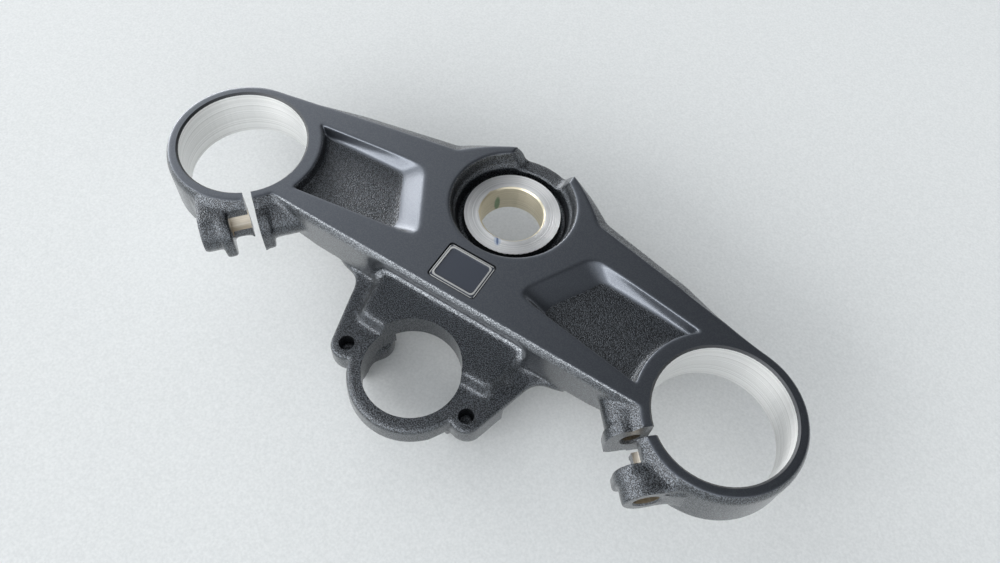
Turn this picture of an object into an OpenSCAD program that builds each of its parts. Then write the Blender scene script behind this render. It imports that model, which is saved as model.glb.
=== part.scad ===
// Upper triple clamp of a motorcycle: one aluminium casting that holds both fork tubes,
// the steering stem and the ignition switch, with a small badge plate set into its top face.
// X runs from fork to fork, +Y to the rider, +Z up. The origin lies on the stem axis, at the seat
// for the stem nut. The shapes are drawn from the middle of the top face and moved there last.

/* [Fork clamps] */
// Distance between the centres of the two fork bores
fork_spacing = 209.5; // [195:0.5:225]
// Diameter of each fork bore
fork_bore = 50; // [46:0.5:53]
// Height of a fork clamp
clamp_height = 23; // [21:0.5:26]
// Wall of the clamp ring at the top face
clamp_wall = 3.8; // [3.2:0.1:5]
// Chamfer at both mouths of a fork bore
bore_chamfer = 0.8; // [0.4:0.1:1.2]
// Width of the pinch slit
slit_width = 3.2; // [2.5:0.1:4]
// Angle of the pinch slit, measured from the line between the bores
slit_angle = 40.5; // [38:0.5:44]
// Distance of the slit's middle from the bore axis, to the side of the bolt head
slit_shift = 2.7; // [2:0.1:3.2]

/* [Pinch bolts] */
// Clearance hole for the pinch bolt
pinch_hole = 9; // [8.2:0.1:9.4]
// Tapping hole for the pinch bolt thread
pinch_tap = 6.8; // [6.4:0.1:7.4]
// Metal between the fork bore and the pinch bolt hole
pinch_web = 1.1; // [0.8:0.1:1.6]
// Radius of the round boss along the bolt
pinch_boss_r = 8.5; // [7.5:0.1:9]
// Distance from the middle of the slit to the bolt head seat
pinch_seat = 20; // [18:0.5:21]
// Distance from the middle of the slit to the inner end of the round boss
pinch_boss_start = 8.8; // [7.5:0.1:10]
// Depth of the thread beyond the slit
pinch_thread = 16; // [12:0.5:18]
// Thickness of the flange that steps out of each boss beside the slit
pinch_flange = 4.4; // [3:0.1:5]
// Height of that step
flange_step = 1; // [0.6:0.1:1.8]

/* [Bridge] */
// Depth of the bridge between the clamps
bridge_depth = 27; // [25:0.5:30]
// Distance from the bore line forward to the front edge of the top face
bridge_front = 13.4; // [12:0.1:15]
// Half width of the rear edge where it turns up to the stem boss
rear_corner_x = 32.3; // [30:0.1:35]
// Distance from the bore line back to that corner
rear_corner_y = 43.8; // [42:0.1:46]
// Height of the sloping shoulder between the top face and the parting line
shoulder_drop = 3; // [2:0.1:4]
// Width of the shoulder along the front
shoulder_front = 1.2; // [0.8:0.1:2]
// Width of the shoulder along the rear arms
shoulder_rear = 5.2; // [3.6:0.1:5.6]
// Inward draft of the walls, over the whole depth
wall_draft = 3.4; // [2.5:0.1:4.5]

/* [Top pockets] */
// Depth of the pocket between each clamp and the stem
pocket_depth = 5; // [4:0.1:6]
// Rim left between the fork bore and the pocket
pocket_rim = 6.4; // [5.5:0.1:8]

/* [Steering stem] */
// Distance from the bore line back to the stem axis
stem_offset = 34.5; // [33:0.5:36]
// Diameter of the stem hole
stem_bore = 25; // [23:0.1:27]
// Diameter of the machined seat for the stem nut
stem_seat = 38; // [36:0.5:39]
// Depth of the seat below the top face
seat_depth = 7; // [6:0.1:8]
// Length of the stem hole below the seat
stem_hole_length = 13; // [11:0.5:15]
// Diameter of the stem pocket at the top face
stem_pocket = 49.2; // [48:0.2:50.6]
// Depth of the rounded ledge in the pocket wall
ledge_depth = 5.6; // [5:0.1:6.4]
// Depth of the groove round the seat
groove_depth = 11.5; // [10:0.5:13]
// Wall of the stem boss round the pocket
stem_wall = 3.6; // [3:0.1:5]
// Half width of the rear notch at the top face
notch_half_top = 13; // [12:0.1:14]
// Half width of the rear notch at its floor
notch_half_floor = 8; // [7:0.1:9.5]
// Depth of the rear notch
notch_depth = 7.4; // [6.5:0.1:8.5]

/* [Ignition mount] */
// Distance from the bore line forward to the ignition switch axis
switch_offset = 35.6; // [35:0.1:37.5]
// Diameter of the ignition switch hole
switch_hole = 37.8; // [36:0.1:38.5]
// Wall of the ring round the ignition switch
switch_wall = 5.6; // [5:0.1:6.5]
// Depth of the ring's top face below the top face of the bridge
switch_level = 26.2; // [24:0.1:27.5]
// Thickness of the ring
switch_ring = 10.5; // [8:0.5:12]
// Depth of the ears below the foot of the ring
ear_drop = 2.2; // [1:0.1:2.8]
// Set-back of the front wall at the web, behind the line of its own draft
wall_recess = 4.2; // [3:0.1:4.6]
// Radius of the fillet between the front wall and the web
web_fillet = 1.8; // [1:0.1:2.4]
// Height of the raised web behind the ring
web_step = 5.8; // [4.5:0.1:6.5]
// Thickness of the ribs beside the web
rib_thickness = 4; // [3:0.1:5]
// Distance between the two small screw holes
screw_spacing = 54; // [52:0.1:55]
// Distance from the switch axis forward to the screw holes
screw_forward = 4.1; // [3:0.1:5]
// Diameter of the blind screw holes
screw_hole = 6; // [5:0.1:7]
// Depth of the blind screw holes
screw_depth = 7; // [5:0.5:8]
// Radius of the ear round each screw hole
ear_r = 6.3; // [5.8:0.1:7]
// Radius of the two round switch bosses below the web
post_r = 7; // [6:0.1:7.6]
// Depth of the foot of those bosses below the top face
post_level = 47.5; // [45:0.5:51]
// Tapping hole in the foot of each boss
post_tap = 6.8; // [5:0.1:7.4]

/* [Underside] */
// Thickness of the bridge's top plate over the hollows
top_plate = 5; // [4:0.1:6]
// Thickness of the outer walls round the hollows
hollow_wall = 5; // [4:0.1:6]
// Thickness of the rib across each hollow
cross_rib = 4; // [3:0.5:5]

/* [Badge] */
// Width of the badge plate
badge_w = 19.4; // [18:0.1:21]
// Length of the badge plate from front to rear
badge_l = 15.8; // [14:0.1:16.5]
// Thickness of the badge plate without its rim
badge_t = 1; // [0.8:0.1:1.4]
// Height of the raised rim of the badge plate
badge_rim = 0.4; // [0.2:0.1:0.5]
// Depth of the badge recess
badge_recess = 1.5; // [1.5:0.1:2]
// Gap between the badge plate and the wall of its recess
badge_gap = 0.5; // [0.3:0.1:0.8]

/* [Hidden] */
$fn = 96;

half_spacing = fork_spacing / 2;
bore_r = fork_bore / 2;
ring_top_r = bore_r + clamp_wall;
ring_foot_r = ring_top_r + 1.6;
through = 1;

bolt_r = bore_r + pinch_web + pinch_hole / 2;
bolt_z = -clamp_height / 2;
flange_r = pinch_boss_r + flange_step;

boss_r = stem_pocket / 2 + stem_wall;
seat_r = stem_seat / 2;
boss_foot = seat_depth + stem_hole_length;
horn = [notch_half_top, stem_offset + sqrt(boss_r * boss_r - notch_half_top * notch_half_top)];

switch_r = switch_hole / 2;
ring_r = switch_r + switch_wall;
ring_foot = switch_level + switch_ring;
web_level = switch_level - web_step;
web_foot = switch_level + rib_thickness;
screw_x = screw_spacing / 2;
screw_y = -switch_offset - screw_forward;
post_x = (switch_r + post_r - 1.3) * cos(21);
post_y = -switch_offset + (switch_r + post_r - 1.3) * sin(21);

ceiling = pocket_depth + top_plate;
hollow_front = -bridge_front + wall_draft + hollow_wall + 1.6;
badge_y = -2;
badge_corner = 1.4;
badge_floor = -badge_recess;

// Points along an arc from angle a0 to a1
function arc(c, r, a0, a1, n) =
    [for (i = [0:n]) let (a = a0 + (a1 - a0) * i / n) [c[0] + r * cos(a), c[1] + r * sin(a)]];
// Points along a curve that leaves a towards b and reaches c from b
function bend(a, b, c, n) =
    [for (i = [0:n]) let (t = i / n) (1 - t) * (1 - t) * a + 2 * t * (1 - t) * b + t * t * c];
// The same points on the other side of the centre line, in turning order
function mirrored(pts) = [for (i = [len(pts) - 1:-1:0]) [-pts[i][0], pts[i][1]]];
// The same points in the other turning order
function turned(pts) = [for (i = [len(pts) - 1:-1:0]) pts[i]];
function unit(v) = v / norm(v);
function outward(a, b) = let (u = unit(b - a)) [u[1], -u[0]];
// An outline with each corner moved outwards, by the distance given for that corner
function grown(pts, d) = let (n = len(pts)) [for (i = [0:n - 1])
    let (
        before = outward(pts[(i + n - 1) % n], pts[i]),
        after = outward(pts[i], pts[(i + 1) % n]),
        middle = unit(before + after)
    )
    pts[i] + middle * d[i] / max(0.5, middle * before)];
// The point where a line from p touches a circle on its rear side
function touch(p, c, r) = let (
        v = c - p,
        a = atan2(v[1], v[0]) + asin(r / norm(v))
    )
    c + r * [cos(a + 90), sin(a + 90)];

// A closed solid through outlines at rising heights, each given as [height, points].
// Its two ends are fans round a point from which the whole outline can be seen.
module skin(levels, eye) {
    n = len(levels[0][1]);
    m = len(levels);
    rings = [for (l = levels) for (p = l[1]) [p[0], p[1], l[0]]];
    eyes = [[eye[0], eye[1], levels[0][0]], [eye[0], eye[1], levels[m - 1][0]]];
    sides = [for (k = [0:m - 2]) for (i = [0:n - 1]) let (j = (i + 1) % n)
        each [[k * n + i, (k + 1) * n + i, (k + 1) * n + j], [k * n + i, (k + 1) * n + j, k * n + j]]];
    foot = [for (i = [0:n - 1]) [n * m, i, (i + 1) % n]];
    top = [for (i = [0:n - 1]) [n * m + 1, (m - 1) * n + (i + 1) % n, (m - 1) * n + i]];
    polyhedron(points = concat(rings, eyes), faces = concat(foot, top, sides), convexity = 6);
}

module both_sides() {
    children();
    mirror([1, 0, 0]) children();
}

// Local frame of the right clamp: X runs out along the slit, Y towards the bolt head
module at_clamp() {
    translate([half_spacing, 0, 0]) rotate([0, 0, 180 + slit_angle]) children();
}
// The same, measured from the middle of the slit
module at_slit() {
    at_clamp() translate([0, slit_shift, 0]) children();
}

// From the middle of the top face to the part's own frame
module in_frame() {
    translate([0, -stem_offset, seat_depth]) children();
}

// Outline of the bridge on the top face, right half from the front to the rear,
// with the width of the shoulder and the change at the foot for each corner
right_touch = touch([rear_corner_x, rear_corner_y], [half_spacing, 0], ring_top_r);
rear_corner = [rear_corner_x, rear_corner_y];
arm = right_touch - rear_corner;
boss_curve = bend(rear_corner, [notch_half_top + 9.5, horn[1] - 5.2], horn, 6);
boss_arc = arc([0, stem_offset], boss_r, acos(notch_half_top / boss_r), 90, 4);
bridge_half = concat(
    [[half_spacing, -bridge_front], right_touch, rear_corner + 0.76 * arm, rear_corner + 0.5 * arm],
    boss_curve,
    [for (i = [1:len(boss_arc) - 2]) boss_arc[i]]);
shoulder_half = concat(
    [shoulder_front, 0, 0.35 * shoulder_rear, 0.85 * shoulder_rear],
    [for (i = [0:6]) shoulder_rear + (1 - shoulder_rear) * i / 6],
    [1, 1, 1]);
bridge_outline = concat(bridge_half, [[0, stem_offset + boss_r]], mirrored(bridge_half));
shoulder = concat(shoulder_half, [1], [for (i = [len(shoulder_half) - 1:-1:0]) shoulder_half[i]]);

module bridge_body() {
    at_parting = grown(bridge_outline, shoulder);
    at_foot = grown(bridge_outline, shoulder - [for (d = shoulder) wall_draft]);
    difference() {
        skin([[-bridge_depth, at_foot], [-shoulder_drop, at_parting], [0, bridge_outline]], [0, 24]);
        // The bridge is shallower where it meets the clamps
        both_sides()
            translate([0, 80, 0]) rotate([90, 0, 0]) linear_extrude(120)
                polygon([
                    [half_spacing - 42, -bridge_depth],
                    [half_spacing - 30, -clamp_height],
                    [half_spacing + 60, -clamp_height],
                    [half_spacing + 60, -bridge_depth - 20],
                    [half_spacing - 42, -bridge_depth - 20]]);
    }
}

// Section of a pinch lug beside the slit: the ring side under a flat top
module lug_section(reach) {
    polygon([
        [bore_r - 3, -clamp_height],
        [reach - 3, -clamp_height + 0.4],
        [reach, -clamp_height + 2],
        [reach, -shoulder_drop],
        [bore_r - 3, -shoulder_drop]]);
}

// A slab of that section, from y0 to y1 along the bolt
module lug_slab(y0, y1) {
    translate([0, y1, 0]) rotate([90, 0, 0]) linear_extrude(y1 - y0) lug_section(bolt_r);
}

// A flange that stands out round the bolt, flat under the shoulder and squarer at its foot
module lug_flange(y0, y1) {
    lug_slab(y0, y1);
    translate([0, y1, 0]) rotate([90, 0, 0]) linear_extrude(y1 - y0) {
        intersection() {
            translate([bolt_r, bolt_z]) circle(r = flange_r);
            translate([bore_r, bolt_z - 1])
                square([2 * flange_r + 8, 1 - shoulder_drop - bolt_z]);
        }
        polygon([
            [bore_r, bolt_z],
            [bore_r, bolt_z - flange_r - 1],
            [bolt_r + flange_r - 3, bolt_z - flange_r - 1],
            [bolt_r + flange_r - 1, bolt_z - flange_r],
            [bolt_r + flange_r - 0.4, bolt_z - flange_r + 2.5],
            [bolt_r + flange_r, bolt_z]]);
    }
}

// Round boss round the bolt, joined to the ring behind it
module lug_boss(y0, y1) {
    translate([bolt_r, y1, bolt_z]) rotate([90, 0, 0]) cylinder(r = pinch_boss_r, h = y1 - y0);
    translate([bore_r - 7, y0, bolt_z - pinch_boss_r])
        cube([bolt_r - bore_r + 7, y1 - y0, 2 * pinch_boss_r]);
}

module clamp_ring() {
    translate([half_spacing, 0, -clamp_height])
        cylinder(r1 = ring_foot_r, r2 = ring_foot_r - 0.3, h = clamp_height - shoulder_drop);
    translate([half_spacing, 0, -shoulder_drop])
        cylinder(r1 = ring_foot_r - 0.3, r2 = ring_top_r, h = shoulder_drop);
    at_clamp() {
        // Shoulder that spreads from the top face to the lugs
        intersection() {
            translate([0, 0, -shoulder_drop])
                cylinder(r1 = ring_top_r + 3, r2 = ring_top_r, h = shoulder_drop);
            translate([0, 0, -shoulder_drop]) linear_extrude(shoulder_drop)
                polygon([[0, 0], [40, -26], [40, 38]]);
        }
    }
    at_slit() {
        // Bridge side: flange at the slit, then a boss that runs into the front wall
        lug_flange(-slit_width / 2 - pinch_flange, 0);
        lug_boss(-pinch_thread - 5, -slit_width / 2);
        // Far side: thin ring end at the slit, flange, then the boss with the bolt head seat
        lug_slab(0, pinch_boss_start);
        lug_flange(pinch_boss_start, pinch_boss_start + pinch_flange);
        lug_boss(pinch_boss_start, pinch_seat);
        // Gusset between the bolt head seat and the ring
        translate([0, 0, bolt_z - 6]) linear_extrude(11)
            polygon([[bore_r - 9, pinch_seat - 2], [bolt_r - 4.5, pinch_seat - 2],
                [bolt_r - 4.5, pinch_seat], [bore_r - 8.4, pinch_seat + 1.8]]);
    }
}

module clamp_cuts() {
    translate([half_spacing, 0, 0]) {
        translate([0, 0, -bridge_depth - 10]) cylinder(r = bore_r, h = bridge_depth + 11);
        translate([0, 0, -bore_chamfer])
            cylinder(r1 = bore_r, r2 = bore_r + bore_chamfer + 0.5, h = bore_chamfer + 0.5);
        translate([0, 0, -clamp_height - 0.5])
            cylinder(r1 = bore_r + bore_chamfer + 0.5, r2 = bore_r, h = bore_chamfer + 0.5);
    }
    at_slit() {
        translate([bore_r - 5, -slit_width / 2, -clamp_height - through])
            cube([bolt_r + flange_r - bore_r + 8, slit_width, clamp_height + 2 * through]);
        translate([bolt_r, pinch_seat + through, bolt_z]) rotate([90, 0, 0])
            cylinder(d = pinch_hole, h = pinch_seat + through);
        translate([bolt_r, 0, bolt_z]) rotate([90, 0, 0])
            cylinder(d = pinch_tap, h = slit_width / 2 + pinch_thread);
        // Chamfers at the bolt head seat and at the mouth of the thread
        translate([bolt_r, pinch_seat + 0.5, bolt_z]) rotate([90, 0, 0])
            cylinder(d1 = pinch_hole + 2.2, d2 = pinch_hole, h = 1.1);
        translate([bolt_r, 0, bolt_z]) rotate([90, 0, 0])
            cylinder(d1 = pinch_hole + slit_width, d2 = pinch_tap, h = slit_width / 2 + 1);
    }
}

// Pocket in the top face: steep along the ring and the front, sloping along the rear,
// with a long ramp up to the stem
module top_pocket() {
    rim_r = bore_r + pocket_rim;
    slope = pocket_depth / 5;
    ring_side = arc([half_spacing, 0], rim_r, 192, 130, 14);
    inner_rear = bend([44, 29.4], [37.6, 31.2], [34.2, 23.6], 4);
    inner_front = bend([23.8, 5.4], [21.6, 1.4], [27, 0.4], 3);
    floor_side = arc([half_spacing, 0], rim_r + 0.6 * slope, 191.4, 133, 14);
    floor_rear = bend([49, 25.4], [45.6, 26.2], [43.9, 22], 4);
    floor_front = bend([34.7, 5], [33, 1.2], [37, 0], 3);
    low = concat(floor_side, floor_rear, floor_front);
    rim = concat(ring_side, inner_rear, inner_front);
    lift = 0.01;
    skin([[-pocket_depth, low], [lift, rim]], [55, 12]);
}

module stem_cuts() {
    lower_r = stem_pocket / 2 - 2.4;
    translate([0, stem_offset, 0]) {
        rotate_extrude()
            polygon([
                [0, -seat_depth],
                [seat_r, -seat_depth],
                [seat_r + 0.3, -groove_depth],
                [lower_r - 0.6, -groove_depth],
                [lower_r, -ledge_depth - 1.2],
                [lower_r + 0.35, -ledge_depth - 0.35],
                [lower_r + 1.2, -ledge_depth],
                [stem_pocket / 2, 0],
                [stem_pocket / 2, through],
                [0, through]]);
        translate([0, 0, -bridge_depth - through]) cylinder(d = stem_bore, h = bridge_depth);
        translate([0, 0, -seat_depth - 0.6])
            cylinder(d1 = stem_bore, d2 = stem_bore + 2, h = 1);
        // Machined recess below the stem hole
        translate([0, 0, -bridge_depth - through])
            cylinder(r = seat_r + 1.5, h = bridge_depth + through - boss_foot);
        // Rear notch between two horns
        translate([0, boss_r + 8, 0]) rotate([90, 0, 0]) linear_extrude(boss_r + 7.4 - seat_r)
            polygon([
                [-notch_half_floor, -notch_depth],
                [notch_half_floor, -notch_depth],
                [notch_half_floor + 1.4, -notch_depth + 0.8],
                [notch_half_top, 0],
                [notch_half_top, through],
                [-notch_half_top, through],
                [-notch_half_top, 0],
                [-notch_half_floor - 1.4, -notch_depth + 0.8]]);
    }
}

// Plan of the ribs and ears: straight outer edges from a curve at the bridge to the ears
rib_start = [39.9, -17.8];
ear = [screw_x, screw_y];
ear_touch = touch(rib_start, ear, ear_r);
mount_side = concat(
    [[half_spacing / 2, -4], [half_spacing / 2, -10.6]],
    bend([48, -12], [41.6, -12.6], rib_start, 5),
    [ear_touch, ear, [4, -switch_offset]]);

module ignition_mount() {
    outline = concat(turned(mount_side), [for (p = mount_side) [-p[0], p[1]]]);
    // Ribs and the floor below the web
    translate([0, 0, -web_foot]) linear_extrude(rib_thickness) polygon(outline);
    // Ring with rounded outer edges
    translate([0, -switch_offset, 0]) rotate_extrude()
        polygon([
            [switch_r - 2, -ring_foot],
            [ring_r, -ring_foot],
            [ring_r + 0.3, -ring_foot + 0.4],
            [ring_r, -switch_level - 1],
            [ring_r - 1, -switch_level],
            [switch_r - 2, -switch_level]]);
    // Ears with the full thickness of the ring
    both_sides() {
        translate([screw_x, screw_y, -ring_foot - ear_drop])
            cylinder(r = ear_r, h = switch_ring + ear_drop);
        translate([0, 0, -ring_foot - ear_drop]) linear_extrude(switch_ring + ear_drop)
            polygon([ear_touch, ear_touch + 0.55 * (rib_start - ear_touch),
                ear + [-6, 12], ear + [-6, 0], ear]);
    }
    // Raised web with sloping sides
    base = concat([[35, -4], [34.4, -9], [31.2, -25]], bend([31, -26.4], [30.6, -30], [26.5, -30], 4));
    crown = concat([[33, -4], [32.4, -9], [28.8, -23.6]], bend([28.6, -25], [28, -28], [24.4, -28], 4));
    base_outline = concat(turned(base), [for (p = base) [-p[0], p[1]]]);
    crown_outline = concat(turned(crown), [for (p = crown) [-p[0], p[1]]]);
    skin([[-web_foot, base_outline], [-switch_level, base_outline],
        [-web_level + 0.05, crown_outline]],
        [0, -18]);
}

// The front wall falls back above the web, from the shoulder to a fillet along the web.
// The same cut faces the top of the web.
wall_foot = -bridge_front - shoulder_front + wall_draft * web_level / bridge_depth + wall_recess;
module wall_falls_back() {
    translate([-33.2, 0, 0]) rotate([90, 0, 90]) linear_extrude(66.4)
        polygon(concat(
            [[-bridge_front - 46, -web_level], [-bridge_front - 46, -shoulder_drop - 0.4],
                [-bridge_front - shoulder_front + 0.5, -shoulder_drop - 0.4],
                [wall_foot, -web_level + web_fillet]],
            arc([wall_foot - web_fillet, -web_level + web_fillet], web_fillet, -15, -90, 5)));
}

// Round bosses for the switch: the hole trims them only to just below the foot of the ring
module switch_posts() {
    difference() {
        both_sides() {
            translate([post_x, post_y, -post_level])
                cylinder(r = post_r, h = post_level - web_foot + 1);
            // Skirt of the same depth, from the boss forward along the hole
            translate([0, -switch_offset, -post_level]) linear_extrude(post_level - ring_foot + 1)
                polygon(concat(
                    arc([0, 0], switch_r + 0.9, 21, -22, 12),
                    arc([0, 0], switch_r + 4.4, -22, 21, 12)));
        }
        translate([0, -switch_offset, -ring_foot - 0.6])
            cylinder(r = switch_r + 0.4, h = ring_foot + 0.6);
        both_sides() translate([post_x, post_y, -post_level - through])
            cylinder(d = post_tap, h = 16 + through);
    }
}

module ignition_cuts() {
    translate([0, -switch_offset, -ring_foot - through]) {
        cylinder(d = switch_hole, h = ring_foot - web_level + 2 * through);
        // Behind the hole the ring is open below the web, from boss to boss
        linear_extrude(ring_foot - web_foot - 0.8 + through)
            polygon([[0, 2], [27, 18], [0, 36], [-27, 18]]);
    }
    both_sides() {
        translate([screw_x, screw_y, -switch_level - screw_depth])
            cylinder(d = screw_hole, h = screw_depth + through);
        translate([post_x, post_y, -post_level - through])
            cylinder(d = post_tap, h = 16 + through);
    }
}

// Hollows in the underside: one in each arm with a rib across it, one below the badge
module hollows() {
    deep = bridge_depth - ceiling + through;
    ring_clear = bore_r + hollow_wall;
    stem_clear = boss_r - 1.5;
    difference() {
        both_sides() translate([0, 0, -bridge_depth - through]) linear_extrude(deep)
            difference() {
                polygon([
                    [16, hollow_front],
                    [half_spacing - 18, hollow_front],
                    [half_spacing - 14, rear_corner_y - 21.5],
                    [rear_corner_x + 2, rear_corner_y - hollow_wall - 1.4],
                    [16, rear_corner_y - hollow_wall - 1.4]]);
                translate([half_spacing, 0]) circle(r = ring_clear);
                translate([0, stem_offset]) circle(r = stem_clear);
            }
        both_sides() translate([0, 0, -bridge_depth]) linear_extrude(bridge_depth)
            polygon([
                [38, -bridge_front],
                [38 + cross_rib, -bridge_front],
                [62 + cross_rib, rear_corner_y],
                [62, rear_corner_y]]);
    }
    translate([-13, hollow_front, -bridge_depth - through])
        cube([26, 9.4, deep]);
}

module badge_outline(inset) {
    r = badge_corner;
    w = badge_w / 2 - inset;
    l = badge_l / 2 - inset;
    translate([0, badge_y]) polygon(concat(
        arc([w - r, -l + r], r, -90, 0, 5),
        arc([w - r, l - r], r, 0, 90, 5),
        arc([-w + r, l - r], r, 90, 180, 5),
        arc([-w + r, -l + r], r, 180, 270, 5)));
}

module yoke_casting() {
    color("#26282b") in_frame() {
        difference() {
            union() {
                bridge_body();
                both_sides() clamp_ring();
                difference() {
                    ignition_mount();
                    // The mount ends inside the front wall
                    translate([-half_spacing, -bridge_front + wall_draft + hollow_wall, -60])
                        cube([fork_spacing, 60, 60]);
                }
            }
            both_sides() clamp_cuts();
            both_sides() top_pocket();
            stem_cuts();
            ignition_cuts();
            wall_falls_back();
            hollows();
            translate([0, 0, badge_floor]) linear_extrude(badge_recess + through)
                badge_outline(-badge_gap);
        }
        switch_posts();
    }
}

module badge_plate() {
    color("#15171a") in_frame()
    translate([0, 0, badge_floor]) {
        linear_extrude(badge_t) badge_outline(0);
        linear_extrude(badge_t + badge_rim) difference() {
            badge_outline(0.7);
            badge_outline(1.3);
        }
    }
}

yoke_casting();
badge_plate();
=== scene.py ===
# %% [markdown]
# # A triple clamp in graphite paint and bare aluminium
# The upper triple clamp of a sport motorcycle is one aluminium casting. It is coated in graphite
# paint all over, and then the fork bores and the seat of the steering stem are cut bare on a
# machine. This lesson starts from the exact solids, gives the casting its rounded skin, and then
# builds the paints, the turned metal and the light that show them.

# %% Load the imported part
import math

import bmesh
import bpy
import numpy as np
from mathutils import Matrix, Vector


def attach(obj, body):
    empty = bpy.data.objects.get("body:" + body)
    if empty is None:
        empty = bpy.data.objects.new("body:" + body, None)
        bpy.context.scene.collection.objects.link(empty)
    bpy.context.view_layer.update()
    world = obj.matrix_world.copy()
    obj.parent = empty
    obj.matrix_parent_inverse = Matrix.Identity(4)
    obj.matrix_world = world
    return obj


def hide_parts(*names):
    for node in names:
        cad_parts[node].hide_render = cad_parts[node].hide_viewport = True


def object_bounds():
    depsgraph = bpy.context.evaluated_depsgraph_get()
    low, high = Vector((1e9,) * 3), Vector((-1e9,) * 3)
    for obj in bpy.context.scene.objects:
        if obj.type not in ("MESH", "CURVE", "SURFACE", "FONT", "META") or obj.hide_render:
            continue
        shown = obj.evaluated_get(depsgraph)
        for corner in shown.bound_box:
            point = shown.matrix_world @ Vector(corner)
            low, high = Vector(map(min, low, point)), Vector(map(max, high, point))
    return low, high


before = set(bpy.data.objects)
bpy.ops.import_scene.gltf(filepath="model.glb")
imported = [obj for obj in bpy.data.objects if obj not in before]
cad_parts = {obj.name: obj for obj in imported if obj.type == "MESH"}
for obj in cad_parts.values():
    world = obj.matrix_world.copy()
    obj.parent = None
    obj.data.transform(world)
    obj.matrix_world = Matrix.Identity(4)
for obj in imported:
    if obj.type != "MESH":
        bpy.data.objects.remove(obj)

MM = 0.001
cad_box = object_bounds()
casting_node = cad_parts["yoke_casting"]
badge_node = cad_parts["badge_plate"]
print("nodes:", sorted(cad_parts))
print("box in mm:", [tuple(round(v / MM, 1) for v in corner) for corner in cad_box])

# %% [markdown]
# ## The camera
# The photograph was taken by hand from above the front right, with the camera rolled. Its place
# was worked out from the circles of the bores, so the camera gets that place and turn directly.
# A lens is given for a 36 mm wide sensor, so the focal length in pixels is scaled to it.

# %% Camera
IMAGE_WIDTH = 1000
SENSOR_WIDTH = 36.0
FOCAL_LENGTH = 829.84
CAMERA_PLACE = (81.57, -171.32, 266.66)
CAMERA_TURN = (30.682, -3.236, 31.857)
CAMERA_SHIFT = (0.00306, -0.00266)
NEAREST = 10.0


def make_camera():
    """Puts a plain camera at the place and turn of the photograph."""
    data = bpy.data.cameras.new("photo_camera")
    data.sensor_width = SENSOR_WIDTH
    data.lens = FOCAL_LENGTH * SENSOR_WIDTH / IMAGE_WIDTH
    data.shift_x, data.shift_y = CAMERA_SHIFT
    data.clip_start = NEAREST * MM
    camera = bpy.data.objects.new("photo_camera", data)
    camera.location = [v * MM for v in CAMERA_PLACE]
    camera.rotation_euler = [math.radians(v) for v in CAMERA_TURN]
    bpy.context.scene.collection.objects.link(camera)
    return camera


bpy.context.scene.camera = make_camera()
print("lens:", round(bpy.context.scene.camera.data.lens, 2), "mm")

# %% [markdown]
# ## Places on the casting
# Every finish follows a place on the part: a bore, the seat, a bolt. These are the same places
# as in the solids, in millimetres from the middle of the stem seat. Writing them once keeps the
# smoothing and the materials in step.

# %% Places in millimetres
TOP = 7.0
FORK_X, FORK_Y = 104.75, -34.5
FORK_R = 25.0
SEAT_R = 19.0
STEM_R = 12.5
STEM_RECESS_R = 21.6
SWITCH_Y = -70.1
SWITCH_R = 18.9
EAR = (27.0, -74.2)
POST = (22.97, -61.28)
SKIRT = (25, -80)
BADGE_Y = -36.5
SLIT_ANGLE = math.radians(40.5)
SLIT_SHIFT = 2.7
SLIT_REACH = (10, 46)
BOLT_R = 30.6
BOLT_Z = -4.5
BOLT_SEAT = 20.0
BOLT_REACH = 26
LUG_END = 47
POCKET_X = (24, 90)
RAMP_FOOT_X = 47
RECESS_END_X = 34


def between(values, span):
    """True where a value lies inside a span."""
    return (values > span[0]) & (values < span[1])


def slit_frame(p):
    """Distances along the slit, across it towards the bolt head, and out from the bolt's axis.

    Both sides are folded onto the right one. The slit runs out from its fork bore at the slit
    angle, and the bolt crosses it at a right angle.
    """
    x, y = np.abs(p[:, 0]) - FORK_X, p[:, 1] - FORK_Y
    along = -x * math.cos(SLIT_ANGLE) - y * math.sin(SLIT_ANGLE)
    across = x * math.sin(SLIT_ANGLE) - y * math.cos(SLIT_ANGLE) - SLIT_SHIFT
    return along, across, np.hypot(along - BOLT_R, p[:, 2] - BOLT_Z)


def away(p, x, y):
    """Distance of each point from an upright axis, folded onto the right side."""
    return np.hypot(np.abs(p[:, 0]) - x, p[:, 1] - y)


print("places: fork bores at", FORK_X, "mm, switch hole at", SWITCH_Y, "mm")

# %% [markdown]
# ## The skin of the casting
# The solids have sharp corners where a real casting is rounded. A bevel could round single edges,
# but not the corners where several forms run together. So the skin is built on a fine grid over
# the solids, which keeps flat and round faces true, and is then relaxed: each point moves
# towards the mean of its neighbours. Points on machined faces don't move, so bores, seats and
# the slit keep their crisp edges, and the top face moves less than the rest. A few places that
# blend widely on the real casting then get more rounds.

# %% Mesh helpers
def merged_copy(node):
    """A copy of a node's mesh with its loose triangles joined."""
    mesh = node.data.copy()
    work = bmesh.new()
    work.from_mesh(mesh)
    bmesh.ops.remove_doubles(work, verts=work.verts, dist=0.002 * MM)
    work.to_mesh(mesh)
    work.free()
    return mesh


def with_modifier(mesh, kind, **settings):
    """The mesh that one modifier makes of another."""
    holder = bpy.data.objects.new("holder", mesh)
    bpy.context.scene.collection.objects.link(holder)
    modifier = holder.modifiers.new("work", kind)
    for key, value in settings.items():
        setattr(modifier, key, value)
    graph = bpy.context.evaluated_depsgraph_get()
    made = bpy.data.meshes.new_from_object(holder.evaluated_get(graph))
    bpy.data.objects.remove(holder)
    return made


def points_of(mesh):
    """The mesh's points in millimetres, as rows."""
    flat = np.empty(len(mesh.vertices) * 3, np.float32)
    mesh.vertices.foreach_get("co", flat)
    return flat.reshape(-1, 3).astype(float) / MM


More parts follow.
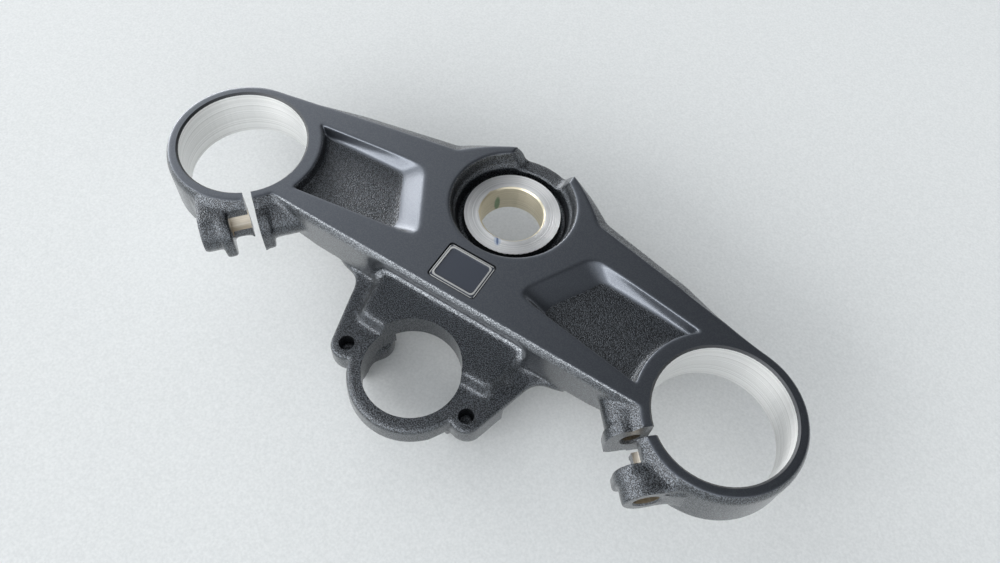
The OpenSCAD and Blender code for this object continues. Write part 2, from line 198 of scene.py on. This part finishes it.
solid = merged_copy(casting_node)
print("solid:", len(solid.vertices), "points,", len(solid.polygons), "faces")

# %% How far each place may round
TOP_FREEDOM = 0.4


def looseness(p):
    """1 on the cast skin, 0 on machined faces, and less than half on the top face."""
    along, across, bolt = slit_frame(p)
    z = p[:, 2]
    stem = away(p, 0, 0)
    at_clamp = between(along, SLIT_REACH)
    crisp = {
        "fork bores": np.abs(away(p, FORK_X, FORK_Y) - FORK_R) < 1.5,
        "stem seat": (stem < SEAT_R + 1.6) & (z > -3.5),
        "stem bore": stem < STEM_R + 1.5,
        "recess below the stem": (stem < STEM_RECESS_R) & (z < -12),
        "switch hole": (np.abs(away(p, 0, SWITCH_Y) - SWITCH_R) < 0.45) & between(z, (-30.2, -11)),
        "slits": at_clamp & (np.abs(across) < 2.3),
        "bolt holes": at_clamp & (bolt < 6) & (np.abs(across) < BOLT_REACH),
        "bolt head seats": at_clamp & (bolt < 8) & between(across, (BOLT_SEAT - 0.9, 22)),
        "ear holes": (away(p, *EAR) < 3.7) & between(z, (-25, -16)),
        "boss holes": (away(p, *POST) < 4.2) & (z < -20),
        "badge recess": (np.abs(p[:, 0]) < 10.8) & (np.abs(p[:, 1] - BADGE_Y) < 9) & (z > 4.5)}
    free = np.where(z > TOP - 0.4, TOP_FREEDOM, 1.0)
    free[np.any(list(crisp.values()), axis=0)] = 0
    return free


def softness(p):
    """1 where the real casting blends widely, fading to 0 over a few millimetres.

    The fades of one place are multiplied, and of the places the greatest value counts.
    """
    side, y, z = np.abs(p[:, 0]), p[:, 1], p[:, 2]
    from_recess_end = np.abs(side - RECESS_END_X)
    places = {
        "recess ends": [(7 - from_recess_end) / 4, (4 - z) / 3, (z + 22) / 3, (y + 56) / 3],
        "boss skirts": [(9 - away(p, *SKIRT)) / 4, (-27 - z) / 3],
        "bosses": [(12 - away(p, *POST)) / 3, (-24 - z) / 3]}
    return np.max([np.clip(fades, 0, 1).prod(axis=0) for fades in places.values()], axis=0)


solid_points = points_of(solid)
print("machined points:", int((looseness(solid_points) == 0).sum()), "of", len(solid_points))

# %% Relax the skin
GRID_DEPTH = 10
SKIN_ROUNDS = 80
SOFT_ROUNDS = 240
SKIN_FACES = 190000


def relaxed(p, edges, free, rounds):
    """Each round moves a point half way to the mean of its neighbours, times its freedom."""
    edges = edges[free[edges].max(axis=1) > 0]
    used, ends = np.unique(edges, return_inverse=True)
    a, b = ends.reshape(edges.shape).T
    part, loose, count = p[used], free[used][:, None], len(used)
    share = (np.bincount(a, minlength=count) + np.bincount(b, minlength=count))[:, None]
    for _ in range(rounds):
        sums = [np.bincount(a, part[b, k], count) + np.bincount(b, part[a, k], count)
                for k in range(3)]
        part = part + 0.5 * loose * (np.stack(sums, 1) / share - part)
    p = p.copy()
    p[used] = part
    return p


def skin_mesh(solid):
    """Fine grid over the solid, relaxed where it was cast, then thinned where it is flat."""
    grid = with_modifier(solid, "REMESH", mode="SHARP", octree_depth=GRID_DEPTH, scale=0.99,
                         sharpness=1.0, use_remove_disconnected=False)
    edges = np.empty(len(grid.edges) * 2, np.int32)
    grid.edges.foreach_get("vertices", edges)
    edges = edges.reshape(-1, 2)
    p = points_of(grid)
    p = relaxed(p, edges, looseness(p), SKIN_ROUNDS)
    p = relaxed(p, edges, looseness(p) * softness(p), SOFT_ROUNDS)
    low, high = (np.array(c) / MM for c in cad_box)
    p = np.clip(p, low, high)
    grid.vertices.foreach_set("co", (p * MM).astype(np.float32).ravel())
    return with_modifier(grid, "DECIMATE", ratio=SKIN_FACES / (2 * len(grid.polygons)))


skin = skin_mesh(solid)
print("skin:", len(skin.vertices), "points,", len(skin.polygons), "faces")

# %% [markdown]
# ## Colours and nodes
# Colours are written as sRGB hex values, as a paint chart gives them, and turned to linear
# light here. One helper adds a shader node, sets its values and draws its links, so a material
# reads like a recipe.

# %% Colour and node helpers
SMOOTH = {"interpolation_type": "SMOOTHSTEP"}


def colour(hex_value):
    """Linear colour of an sRGB hex value such as #1e2125."""
    parts = [int(hex_value[i:i + 2], 16) / 255 for i in (1, 3, 5)]
    linear = [v / 12.92 if v <= 0.04045 else ((v + 0.055) / 1.055) ** 2.4 for v in parts]
    return (*linear, 1.0)


def new_material(name):
    """An empty material with its node tree."""
    material = bpy.data.materials.new(name)
    material.use_nodes = True
    material.node_tree.nodes.clear()
    return material, material.node_tree


def add(tree, kind, settings=None, **inputs):
    """Adds a shader node. Settings go on the node, and inputs are set or linked by name.

    An input named with an underscore and a number, such as _0, is taken by its place.
    """
    made = tree.nodes.new("ShaderNode" + kind)
    for key, value in (settings or {}).items():
        setattr(made, key, value)
    for key, value in inputs.items():
        socket = made.inputs[int(key[1:])] if key[0] == "_" else made.inputs[key.replace("_", " ")]
        if isinstance(value, bpy.types.NodeSocket):
            tree.links.new(value, socket)
        else:
            socket.default_value = value
    return made


print("darkest flakes as linear light:", [round(v, 4) for v in colour("#1e2125")[:3]])

# %% [markdown]
# ## Graphite paint
# The clamp wears a graphite powder coat: fine dark metal flakes under a clear resin. Such a coat
# is nearly black where the room above it is dark, and silvery where it faces a window. On the
# machined top face and on the pockets' slopes it is smooth. On the cast skin the grit below it
# shows, with grains of about half a millimetre, painted dark in the hollows as shade and painted
# lighter on their tops as glints.
# The grit fades as a face turns upright. Along the front shoulder and the fillet above the web
# the coat's colour is lighter as a painted highlight, and its grit hardly fades. One noise draws
# both the grain's height and its colour, so that the painted glints sit on the high tops.

# %% Grain of the paint
PAINTED_GLINT_TOPS = (0.43, 0.6)


def grain_with_painted_glints(tree, size_mm, height_mm, strength, dark, light):
    """Flake colour and normal of grain: painted shade in hollows, painted glints on tops."""
    grains = add(tree, "TexNoise", Vector=add(tree, "TexCoord").outputs["Object"],
                 Scale=1 / (size_mm * MM), Detail=1.0, Roughness=0.5).outputs["Fac"]
    bump = add(tree, "Bump", Height=grains, Strength=strength, Distance=height_mm * MM)
    # The tops are painted lighter and the hollows darker: painted glints and painted shade.
    tops = add(tree, "MapRange", SMOOTH, Value=grains, From_Min=PAINTED_GLINT_TOPS[0],
               From_Max=PAINTED_GLINT_TOPS[1], To_Min=0.0, To_Max=1.0)
    flakes = add(tree, "Mix", {"data_type": "RGBA"}, _0=tops.outputs[0], _6=colour(dark),
                 _7=colour(light))
    return flakes.outputs[2], bump.outputs[0]


def powder_coat(tree, flakes, normal, flake_roughness, resin_roughness):
    """Metal flakes under clear resin: the flakes carry the colour, the resin a soft shine."""
    return add(tree, "BsdfPrincipled", Base_Color=flakes, Metallic=0.9,
               Roughness=flake_roughness, Normal=normal, Coat_Weight=1.0,
               Coat_Roughness=resin_roughness, Coat_Normal=normal).outputs[0]


print("grains turn from dark to light between", *PAINTED_GLINT_TOPS, "of the noise")

# %% Satin and grit paints
SATIN_GRAIN_MM = 0.4
SATIN_HEIGHT_MM = 0.06
GRIT_MM = 0.42
GRIT_HEIGHT_MM = 0.3
FACING_UP = (0.15, 0.75)


def satin_paint():
    """Smooth satin powder coat, with a grain so faint that it only softens the shine."""
    material, tree = new_material("satin_powder_coat")
    flakes, normal = grain_with_painted_glints(tree, SATIN_GRAIN_MM, SATIN_HEIGHT_MM, 0.35, "#525760", "#5c6168")
    coat = powder_coat(tree, flakes, normal, flake_roughness=0.4, resin_roughness=0.34)
    add(tree, "OutputMaterial", Surface=coat)
    return material


def grit_paint(name, dark, light, upright_grit):
    """Gritty powder coat on the cast skin, whose grit is full on faces that look up."""
    material, tree = new_material(name)
    facing = add(tree, "SeparateXYZ", Vector=add(tree, "NewGeometry").outputs["Normal"])
    grit = add(tree, "MapRange", SMOOTH, Value=facing.outputs["Z"], From_Min=FACING_UP[0],
               From_Max=FACING_UP[1], To_Min=upright_grit, To_Max=1.0)
    flakes, normal = grain_with_painted_glints(tree, GRIT_MM, GRIT_HEIGHT_MM, grit.outputs[0], dark, light)
    coat = powder_coat(tree, flakes, normal, flake_roughness=0.38, resin_roughness=0.26)
    add(tree, "OutputMaterial", Surface=coat)
    return material


# The grit's dark and light colours hold its painted shade in the hollows and painted glints on the
# tops.
paints = [satin_paint(), grit_paint("gritty_powder_coat", "#1e2125", "#5e6369", 0.12),
          # The edge coat is a lighter copy of the grit paint, a painted highlight on the shoulder
          # and fillet.
          grit_paint("painted_highlight_edge_coat", "#4c5055", "#8e9297", 0.9)]
print("paints:", [m.name for m in paints])

# %% [markdown]
# ## Turned aluminium
# A boring bar leaves fine rings. They spread a highlight across themselves and keep it narrow
# along themselves. Rings in a bore change only with height, and rings on a faced seat change
# only with the distance from its axis, so noise in one dimension draws both. The paint begins
# again at an exact radius, which keeps that edge clean whatever the mesh does there. Short marks
# of a felt pen, as a workshop leaves them, lie on the seat and in the stem bore.

# %% Lathe rings and pen strokes
# Real rings lie about 0.2 mm apart. That is too fine to show, so they are drawn wider apart.
RING_PITCH_MM = 0.9
RING_TOPS = (0.3, 0.65)
STROKE_EDGE = (0.6, 1.1)


def spoke(tree, x, y):
    """The level vector from an upright axis, or from its twin on the left, to the point."""
    split = add(tree, "SeparateXYZ", Vector=add(tree, "TexCoord").outputs["Object"])
    side = add(tree, "Math", {"operation": "SIGN"}, _0=split.outputs["X"])
    axis_x = add(tree, "Math", {"operation": "MULTIPLY"}, _0=side.outputs[0], _1=x * MM)
    from_x = add(tree, "Math", {"operation": "SUBTRACT"}, _0=split.outputs["X"],
                 _1=axis_x.outputs[0])
    from_y = add(tree, "Math", {"operation": "SUBTRACT"}, _0=split.outputs["Y"], _1=y * MM)
    return add(tree, "CombineXYZ", X=from_x.outputs[0], Y=from_y.outputs[0]).outputs[0]


def lathe_rings(tree, way, depth_mm, dull, bright):
    """Tint and normal of lathe rings: noise that changes only along the given way."""
    rings = add(tree, "TexNoise", {"noise_dimensions": "1D"}, W=way,
                Scale=1 / (RING_PITCH_MM * MM), Detail=5.0, Roughness=0.75).outputs["Fac"]
    bump = add(tree, "Bump", Height=rings, Strength=0.8, Distance=depth_mm * MM)
    tops = add(tree, "MapRange", SMOOTH, Value=rings, From_Min=RING_TOPS[0],
               From_Max=RING_TOPS[1], To_Min=0.0, To_Max=1.0)
    tint = add(tree, "Mix", {"data_type": "RGBA"}, _0=tops.outputs[0], _6=colour(dull),
               _7=colour(bright))
    return tint.outputs[2], bump.outputs[0]


def pen_stroke(tree, metal, ink, middle, half_sizes, turn, strength):
    """The metal with a short stroke of a felt pen: an ellipsoid of ink with a soft edge."""
    local = add(tree, "Mapping", {"vector_type": "TEXTURE"},
                Vector=add(tree, "TexCoord").outputs["Object"],
                Location=[v * MM for v in middle], Rotation=(0, 0, math.radians(turn)),
                Scale=[v * MM for v in half_sizes])
    reach = add(tree, "VectorMath", {"operation": "LENGTH"}, _0=local.outputs[0])
    cover = add(tree, "MapRange", SMOOTH, Value=reach.outputs["Value"], From_Min=STROKE_EDGE[0],
                From_Max=STROKE_EDGE[1], To_Min=strength, To_Max=0.0)
    pigment = add(tree, "BsdfPrincipled", Base_Color=colour(ink), Roughness=0.5)
    return add(tree, "MixShader", Fac=cover.outputs[0], _1=metal, _2=pigment.outputs[0]).outputs[0]


print("ring pitch:", RING_PITCH_MM, "mm")

# %% Bare machined metal
BORE_RING_MM = 0.12
FACE_RING_MM = 0.3
# An edge and a top that lie outside the part, for metal that is bare to its end.
NO_EDGE = (0, 0, 400)
NO_TOP = 100
SEAT_PEN = [("#8fa9cf", (1.8, -14.1, 0), (2.6, 1.5, 3), -58.6, 0.45),
            ("#3a5687", (1.8, -14.1, 0), (2.2, 0.5, 3), -58.6, 0.8)]
STEM_PEN = [("#4d7a55", (-10.6, 6.6, -9), (1.4, 1.4, 4.8), 0, 0.75)]


def turned_aluminium(name, dull, bright, faced, edge=NO_EDGE, top=NO_TOP, strokes=()):
    """Bare aluminium with lathe rings: round a bore, or on a face round the stem axis.

    The rings go from a dull to a bright tint, and draw the highlight out across themselves. The
    paint begins again at its edge, given as an axis and a radius, and above its top height. That
    paint is the real coat made darker and rougher, so that the chamfer shows a painted line of
    shade instead of a glint. Pen strokes lie on the metal, each with its ink, middle, half sizes,
    turn and strength.
    """
    material, tree = new_material(name)
    x, y, radius = edge
    out = spoke(tree, x, y)
    distance = add(tree, "VectorMath", {"operation": "LENGTH"}, _0=out).outputs["Value"]
    place = add(tree, "SeparateXYZ", Vector=add(tree, "TexCoord").outputs["Object"])
    height = place.outputs["Z"]
    way, depth = (distance, FACE_RING_MM) if faced else (height, BORE_RING_MM)
    tint, normal = lathe_rings(tree, way, depth, dull, bright)
    across = out if faced else add(tree, "CombineXYZ", Z=1.0).outputs[0]
    bare = add(tree, "BsdfPrincipled", Base_Color=tint, Metallic=1.0, Roughness=0.4,
               Anisotropic=0.8, Tangent=across, Normal=normal).outputs[0]
    for stroke in strokes:
        bare = pen_stroke(tree, bare, *stroke)
    beyond = add(tree, "Math", {"operation": "GREATER_THAN"}, _0=distance, _1=radius * MM)
    above = add(tree, "Math", {"operation": "GREATER_THAN"}, _0=height, _1=top * MM)
    painted = add(tree, "Math", {"operation": "MAXIMUM"}, _0=beyond.outputs[0],
                  _1=above.outputs[0])
    smooth = add(tree, "NewGeometry").outputs["Normal"]
    # The paint is the real coat made darker and rougher: a painted line of shade at the chamfer.
    coat = powder_coat(tree, colour("#25282c"), smooth, flake_roughness=0.5, resin_roughness=0.5)
    both = add(tree, "MixShader", Fac=painted.outputs[0], _1=bare, _2=coat)
    add(tree, "OutputMaterial", Surface=both.outputs[0])
    return material


metals = [
    turned_aluminium("bored_aluminium", "#dcdcda", "#fbfbfa", False,
                     (FORK_X, FORK_Y, FORK_R + 0.1), TOP - 0.9),
    turned_aluminium("stem_bore_aluminium", "#dfd6be", "#f6eed8", False,
                     (0, 0, STEM_R + 1.5), strokes=STEM_PEN),
    turned_aluminium("bolt_hole_aluminium", "#b5aa98", "#ddd6ca", False),
    turned_aluminium("faced_aluminium", "#e2e3e3", "#fdfdfd", True,
                     (0, 0, SEAT_R), strokes=SEAT_PEN)]
print("metals:", [m.name for m in metals])

# %% [markdown]
# ## Which face wears what
# The paint was on before the machining, so bare metal starts exactly at the machined edges. A
# mask painted by hand would be lost with every change of the mesh. So each face of the skin is
# sorted by its place and by the way it looks.

# %% Sort the faces
SATIN, GRIT, PAINTED_HIGHLIGHT_EDGE, BORED, STEM, BOLT, FACED = range(7)


def finishes_of(p, n):
    """The number of the finish for each face, from its middle and its normal.

    The rows are read in order, so a later row wins where two of them claim a face.
    """
    along, across, bolt = slit_frame(p)
    side, y, z = np.abs(p[:, 0]), p[:, 1], p[:, 2]
    stem = away(p, 0, 0)
    ramp = (np.abs(n[:, 0]) > 0.28) & (n[:, 2] > 0.8) & between(side, (POCKET_X[0], RAMP_FOOT_X))
    rear_slope = (n[:, 1] < -0.25) & between(side, POCKET_X) & between(y, (-30, -5))
    front_shoulder = (n[:, 1] < -0.15) & (along > LUG_END) & (y < -47.5)
    web_fillet = (n[:, 1] < -0.3) & (n[:, 2] > 0.3) & (side < 36) & between(y, (-52, -41))
    to_bolt_end = np.sign(p[:, 0]) * n[:, 0] * math.sin(SLIT_ANGLE) - n[:, 1] * math.cos(SLIT_ANGLE)
    hole_wall = between(along, SLIT_REACH) & (bolt < 4.8) & (np.abs(to_bolt_end) < 0.6)
    rows = [
        (SATIN, (z > TOP - 0.3) & (n[:, 2] > 0.8)),
        (SATIN, ramp & (z > 2.2) & (y < -8)),
        (SATIN, rear_slope & between(z, (-1, 6.8))),
        # The front shoulder and the web fillet take the lighter coat as a painted highlight.
        (PAINTED_HIGHLIGHT_EDGE, front_shoulder & between(z, (2.6, 6.95))),
        (PAINTED_HIGHLIGHT_EDGE, web_fillet & between(z, (-13.6, -8.5))),
        (BORED, (away(p, FORK_X, FORK_Y) < FORK_R + 1.5) & (n[:, 2] < 0.9)),
        (BOLT, hole_wall & (np.abs(across) < BOLT_REACH)),
        (FACED, (stem < SEAT_R + 0.6) & (z > -1.2)),
        (STEM, (stem < STEM_R + 1.0) & (z > -13.5))]
    choice = np.full(len(p), GRIT)
    for finish, faces in rows:
        choice[faces] = finish
    return choice


print("finishes:", len(paints + metals))

# %% Dress the casting
CREASE = math.radians(38)


def dressed(mesh, name, materials, chooser):
    """An object of the mesh, smooth apart from its machined edges, with its faces sorted."""
    p = np.empty(len(mesh.polygons) * 3, np.float32)
    n = p.copy()
    mesh.polygons.foreach_get("center", p)
    mesh.polygons.foreach_get("normal", n)
    mesh.materials.clear()
    for material in materials:
        mesh.materials.append(material)
    choice = chooser(p.reshape(-1, 3).astype(float) / MM, n.reshape(-1, 3).astype(float))
    mesh.polygons.foreach_set("material_index", choice.astype(np.int32))
    mesh.shade_smooth()
    mesh.set_sharp_from_angle(angle=CREASE)
    made = bpy.data.objects.new(name, mesh)
    bpy.context.scene.collection.objects.link(made)
    return made, choice


casting, sorted_faces = dressed(skin, "cast_yoke", paints + metals, finishes_of)
weights = casting.modifiers.new("flat_faces_stay_flat", "WEIGHTED_NORMAL")
weights.keep_sharp = True
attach(casting, "root")
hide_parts("yoke_casting")
print("faces by finish:", np.bincount(sorted_faces, minlength=len(paints + metals)))

# %% [markdown]
# ## The badge
# The badge is a small plate in a recess. Its field is a dark gloss lacquer that mirrors the room,
# and its border and raised rim are bright. The plate keeps its solid. One material serves the
# whole plate, because the place of a point picks the finish more exactly than its faces could.

# %% Badge lacquer
BADGE_RIM_Z = 6.62
BADGE_HALF = (9.7, 7.9)
BADGE_BORDER = 0.32


def badge_lacquer():
    """Dark gloss lacquer, and bright metal at the border and where the plate stands higher."""
    material, tree = new_material("badge_lacquer")
    middle = add(tree, "VectorMath", {"operation": "SUBTRACT"},
                 _0=add(tree, "TexCoord").outputs["Object"], _1=(0, BADGE_Y * MM, 0))
    split = add(tree, "SeparateXYZ", Vector=middle.outputs[0])
    rim = add(tree, "Math", {"operation": "GREATER_THAN"}, _0=split.outputs["Z"],
              _1=BADGE_RIM_Z * MM)
    for axis, half in zip("XY", BADGE_HALF):
        span = add(tree, "Math", {"operation": "ABSOLUTE"}, _0=split.outputs[axis])
        border = add(tree, "Math", {"operation": "GREATER_THAN"}, _0=span.outputs[0],
                     _1=(half - BADGE_BORDER) * MM)
        rim = add(tree, "Math", {"operation": "MAXIMUM"}, _0=rim.outputs[0], _1=border.outputs[0])
    field = add(tree, "BsdfPrincipled", Base_Color=colour("#404652"), Metallic=0.6,
                Roughness=0.25, Coat_Weight=1.0, Coat_Roughness=0.05)
    bright = add(tree, "BsdfPrincipled", Base_Color=colour("#f0f0ee"), Metallic=1.0, Roughness=0.2)
    both = add(tree, "MixShader", Fac=rim.outputs[0], _1=field.outputs[0], _2=bright.outputs[0])
    add(tree, "OutputMaterial", Surface=both.outputs[0])
    return material


badge_node.data.materials.clear()
badge_node.data.materials.append(badge_lacquer())

# %% [markdown]
# ## Floor and light
# The part lies on pale mottled paper between two windows. One is low and far to the left, and
# grazes the grain. The other is in front, behind the camera, and lights the rounded edges. The
# room's own light goes with them: bright at the windows and low down, dark overhead and to the
# right. So the top face turns from grey at the left to nearly black at the right. The floor's
# colour makes the background pale, not the strength of light.

# %% Floor
FLOOR_Z = -40.6
FLOOR_SIZE = 6000
MOTTLE_MM = 1.0


def make_floor():
    """A large square of pale paper under the part's lowest point."""
    half = FLOOR_SIZE / 2
    corners = [(-half, -half), (half, -half), (half, half), (-half, half)]
    mesh = bpy.data.meshes.new("paper_floor")
    mesh.from_pydata([(x * MM, y * MM, FLOOR_Z * MM) for x, y in corners], [], [(0, 1, 2, 3)])
    material, tree = new_material("pale_paper")
    clouds = add(tree, "TexNoise", Vector=add(tree, "TexCoord").outputs["Object"],
                 Scale=1 / (MOTTLE_MM * MM), Detail=3.0)
    mottled = add(tree, "Mix", {"data_type": "RGBA"}, _0=clouds.outputs["Fac"],
                  _6=colour("#cacdcd"), _7=colour("#e8eaea"))
    paper = add(tree, "BsdfPrincipled", Base_Color=mottled.outputs[2], Roughness=0.8)
    add(tree, "OutputMaterial", Surface=paper.outputs[0])
    mesh.materials.append(material)
    floor = bpy.data.objects.new("paper_floor", mesh)
    bpy.context.scene.collection.objects.link(floor)
    return floor


floor = make_floor()
print("floor at", FLOOR_Z, "mm")

# %% Windows
LAMPS = {
    "side_window": {"towards": (-0.91, 0.25, 0.2), "size": (3.8, 1.1), "watts": 115.0},
    "front_window": {"towards": (-0.35, -0.85, 0.42), "size": (3.2, 1.8), "watts": 85.0}}
LAMP_DISTANCE = 4.0


def make_lamp(name, towards, size, watts):
    """One large soft lamp that looks at the part, with its size and distance in metres."""
    data = bpy.data.lights.new(name, "AREA")
    data.shape = "RECTANGLE"
    data.size, data.size_y = size
    data.energy = watts
    lamp = bpy.data.objects.new(name, data)
    lamp.location = np.array(towards) / np.linalg.norm(towards) * LAMP_DISTANCE
    lamp.rotation_euler = (-lamp.location.normalized()).to_track_quat("-Z", "Y").to_euler()
    bpy.context.scene.collection.objects.link(lamp)
    return lamp


lamps = [make_lamp(name, **settings) for name, settings in LAMPS.items()]
print("lamps at", [[round(v, 2) for v in lamp.location] for lamp in lamps])

# %% Light of the room
BRIGHT_SIDE = (-0.85, 0.3, 0.45)
ROOM_LIGHTS = {
    "side": {"span": (0.5, 1.05), "strength": (0.04, 1.15)},
    "front": {"span": (0.15, -0.6), "strength": (0.0, 1.4)},
    "low": {"span": (0.12, 0.45), "strength": (1.0, 0.0)}}


def light_room():
    """The room's own light is the sum of three soft ramps: to the side, the front and low down.

    Each goes from its first strength to its last while a share of the direction crosses its
    span. That is the share towards the bright side, towards the back, or upwards.
    """
    world = bpy.data.worlds.new("bright_room")
    bpy.context.scene.world = world
    world.use_nodes = True
    tree = world.node_tree
    tree.nodes.clear()
    direction = add(tree, "TexCoord").outputs["Generated"]
    side = np.array(BRIGHT_SIDE) / np.linalg.norm(BRIGHT_SIDE)
    towards = add(tree, "VectorMath", {"operation": "DOT_PRODUCT"}, _0=direction, _1=tuple(side))
    split = add(tree, "SeparateXYZ", Vector=direction)
    shares = {"side": towards.outputs["Value"], "front": split.outputs["Y"],
              "low": split.outputs["Z"]}
    total = 0.0
    for name, light in ROOM_LIGHTS.items():
        start, end = light["span"]
        first, last = light["strength"]
        part = add(tree, "MapRange", SMOOTH, Value=shares[name], From_Min=start,
                   From_Max=end, To_Min=first, To_Max=last)
        total = add(tree, "Math", {"operation": "ADD"}, _0=part.outputs[0], _1=total).outputs[0]
    sky = add(tree, "Background", Color=colour("#f1f4f7"), Strength=total)
    add(tree, "OutputWorld", Surface=sky.outputs[0])
    return world


room = light_room()
bpy.context.scene.view_settings.view_transform = "Standard"
print("world:", room.name)
